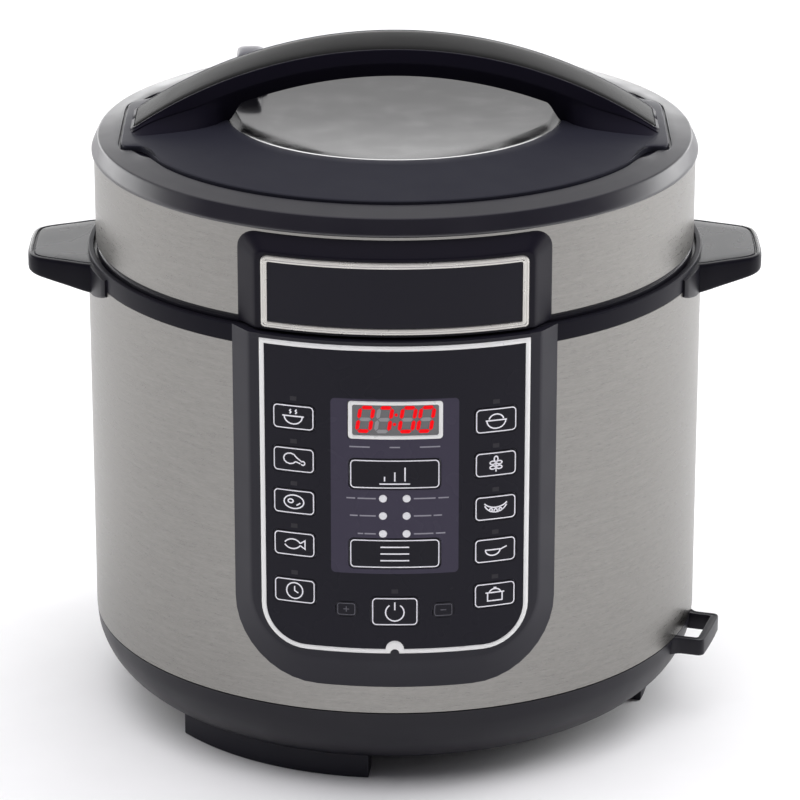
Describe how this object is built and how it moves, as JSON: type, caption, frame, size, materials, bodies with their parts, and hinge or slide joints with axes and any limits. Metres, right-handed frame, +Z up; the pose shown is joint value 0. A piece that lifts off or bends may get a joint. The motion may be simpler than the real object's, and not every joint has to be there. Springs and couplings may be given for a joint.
{
  "type": "electric pressure cooker",
  "caption": "Round countertop cooker with a brushed steel sleeve, twist-lock lid under an arch handle, front key panel, lift-out pot, sealed inner lid and pressure valves.",
  "frame": {"origin": "on the cooker's axis at table level, under the feet", "axes": "+Z up, the key panel faces -Y, +X is to the right of someone facing the panel"},
  "size_m": [0.3414, 0.2993, 0.317],
  "materials": {
    "shell_plastic": "satin",
    "bezel_plastic": "satin",
    "handle_plastic": "satin",
    "cover_satin": "satin",
    "cap_gloss": "gloss",
    "strip_gloss": "gloss",
    "fascia_gloss": "gloss",
    "key_pad": "gloss",
    "membrane": "matte",
    "lamp_lens": "gloss",
    "display_window": "gloss",
    "display_body": "matte",
    "board": "matte",
    "inlet_plastic": "matte",
    "foot_rubber": "matte",
    "seal_silicone": "satin",
    "cup_plastic": "gloss",
    "brushed_sleeve": "brushed",
    "lid_steel": "brushed",
    "screw_steel": "satin",
    "disc_chrome": "polished",
    "frame_white": "satin",
    "frame_silver": "satin",
    "lock_metal": "satin",
    "liner_aluminium": "satin",
    "plate_aluminium": "satin",
    "pot_coating": "satin",
    "pin_brass": "polished"
  },
  "bodies": {
    "base": {"base_shell": "shell_plastic", "bottom_cover": "shell_plastic", "cover_screws": "screw_steel", "feet": "foot_rubber", "outer_sleeve": "brushed_sleeve", "top_ring": "shell_plastic", "side_handle_left": "shell_plastic", "side_handle_right": "shell_plastic", "spoon_holder": "shell_plastic", "power_inlet": "inlet_plastic", "inlet_pins": "pin_brass", "outer_pot": "liner_aluminium", "locking_ring": "lock_metal", "heating_plate": "plate_aluminium", "power_board": "board", "control_board": "board", "display_module": "display_body", "panel_housing": "bezel_plastic", "panel_frame": "frame_white", "fascia": "fascia_gloss", "display_window": "display_window", "key_membrane": "membrane", "menu_lamps": "lamp_lens", "cup_dock": "shell_plastic"},
    "sensor": {"temperature_sensor": "plate_aluminium"},
    "cup": {"condensation_cup": "cup_plastic"},
    "pot": {"inner_pot": "pot_coating"},
    "seal": {"sealing_ring": "seal_silicone"},
    "lid": {"lid_cap": "cap_gloss", "lid_band": "brushed_sleeve", "lid_cover": "cover_satin", "lid_disc": "disc_chrome", "lid_lower_ring": "shell_plastic", "lid_panel_housing": "bezel_plastic", "lid_panel_frame": "frame_silver", "lid_badge": "fascia_gloss", "handle_body": "handle_plastic", "handle_strip": "strip_gloss", "pressure_lid": "lid_steel", "seal_rack": "lid_steel", "vent_pipe": "lid_steel"},
    "valve": {"valve_grip": "handle_plastic", "valve_weight": "lid_steel"},
    "float": {"float_pin": "lid_steel", "float_gasket": "seal_silicone"},
    "key_l1": {"key_l1": "key_pad"},
    "key_l2": {"key_l2": "key_pad"},
    "key_l3": {"key_l3": "key_pad"},
    "key_l4": {"key_l4": "key_pad"},
    "key_l5": {"key_l5": "key_pad"},
    "key_r1": {"key_r1": "key_pad"},
    "key_r2": {"key_r2": "key_pad"},
    "key_r3": {"key_r3": "key_pad"},
    "key_r4": {"key_r4": "key_pad"},
    "key_r5": {"key_r5": "key_pad"},
    "key_level": {"key_level": "key_pad"},
    "key_menu": {"key_menu": "key_pad"},
    "key_cancel": {"key_cancel": "key_pad"},
    "key_plus": {"key_plus": "key_pad"},
    "key_minus": {"key_minus": "key_pad"}
  },
  "joints": [
    {"name": "pot_lift", "type": "slide", "parent": "base", "child": "pot", "axis": [0, 0, 1], "range_m": [0, 0.2]},
    {"name": "lid_lift", "type": "slide", "parent": "pot", "child": "seal", "axis": [0, 0, 1], "range_m": [0, 0.2]},
    {"name": "lid_turn", "type": "hinge", "parent": "seal", "child": "lid", "pos_m": [0, 0, 0], "axis": [0, 0, 1], "range_deg": [0, 30]},
    {"name": "valve_turn", "type": "hinge", "parent": "lid", "child": "valve", "pos_m": [-0.0685, 0.056, 0], "axis": [0, 0, 1], "range_deg": [0, 45]},
    {"name": "float_rise", "type": "slide", "parent": "lid", "child": "float", "axis": [0, 0, 1], "range_m": [0, 0.003]},
    {"name": "cup_slide", "type": "slide", "parent": "base", "child": "cup", "axis": [0, 1, 0], "range_m": [0, 0.035]},
    {"name": "sensor_press", "type": "slide", "parent": "base", "child": "sensor", "axis": [0, 0, 1], "range_m": [-0.002, 0], "stiffness_N_per_m": 400, "springref_m": 0.0005},
    {"name": "key_l1_press", "type": "slide", "parent": "base", "child": "key_l1", "axis": [-0.2982, -0.9545, 0], "range_m": [-0.0005, 0], "stiffness_N_per_m": 1500},
    {"name": "key_l2_press", "type": "slide", "parent": "base", "child": "key_l2", "axis": [-0.2982, -0.9545, 0], "range_m": [-0.0005, 0], "stiffness_N_per_m": 1500},
    {"name": "key_l3_press", "type": "slide", "parent": "base", "child": "key_l3", "axis": [-0.2982, -0.9545, 0], "range_m": [-0.0005, 0], "stiffness_N_per_m": 1500},
    {"name": "key_l4_press", "type": "slide", "parent": "base", "child": "key_l4", "axis": [-0.2982, -0.9545, 0], "range_m": [-0.0005, 0], "stiffness_N_per_m": 1500},
    {"name": "key_l5_press", "type": "slide", "parent": "base", "child": "key_l5", "axis": [-0.2982, -0.9545, 0], "range_m": [-0.0005, 0], "stiffness_N_per_m": 1500},
    {"name": "key_r1_press", "type": "slide", "parent": "base", "child": "key_r1", "axis": [0.2982, -0.9545, 0], "range_m": [-0.0005, 0], "stiffness_N_per_m": 1500},
    {"name": "key_r2_press", "type": "slide", "parent": "base", "child": "key_r2", "axis": [0.2982, -0.9545, 0], "range_m": [-0.0005, 0], "stiffness_N_per_m": 1500},
    {"name": "key_r3_press", "type": "slide", "parent": "base", "child": "key_r3", "axis": [0.2982, -0.9545, 0], "range_m": [-0.0005, 0], "stiffness_N_per_m": 1500},
    {"name": "key_r4_press", "type": "slide", "parent": "base", "child": "key_r4", "axis": [0.2982, -0.9545, 0], "range_m": [-0.0005, 0], "stiffness_N_per_m": 1500},
    {"name": "key_r5_press", "type": "slide", "parent": "base", "child": "key_r5", "axis": [0.2982, -0.9545, 0], "range_m": [-0.0005, 0], "stiffness_N_per_m": 1500},
    {"name": "key_level_press", "type": "slide", "parent": "base", "child": "key_level", "axis": [0, -1, 0], "range_m": [-0.0005, 0], "stiffness_N_per_m": 1500},
    {"name": "key_menu_press", "type": "slide", "parent": "base", "child": "key_menu", "axis": [0, -1, 0], "range_m": [-0.0005, 0], "stiffness_N_per_m": 1500},
    {"name": "key_cancel_press", "type": "slide", "parent": "base", "child": "key_cancel", "axis": [0, -1, 0], "range_m": [-0.0005, 0], "stiffness_N_per_m": 1500},
    {"name": "key_plus_press", "type": "slide", "parent": "base", "child": "key_plus", "axis": [-0.1444, -0.9895, 0], "range_m": [-0.0005, 0], "stiffness_N_per_m": 1500},
    {"name": "key_minus_press", "type": "slide", "parent": "base", "child": "key_minus", "axis": [0.1444, -0.9895, 0], "range_m": [-0.0005, 0], "stiffness_N_per_m": 1500}
  ]
}
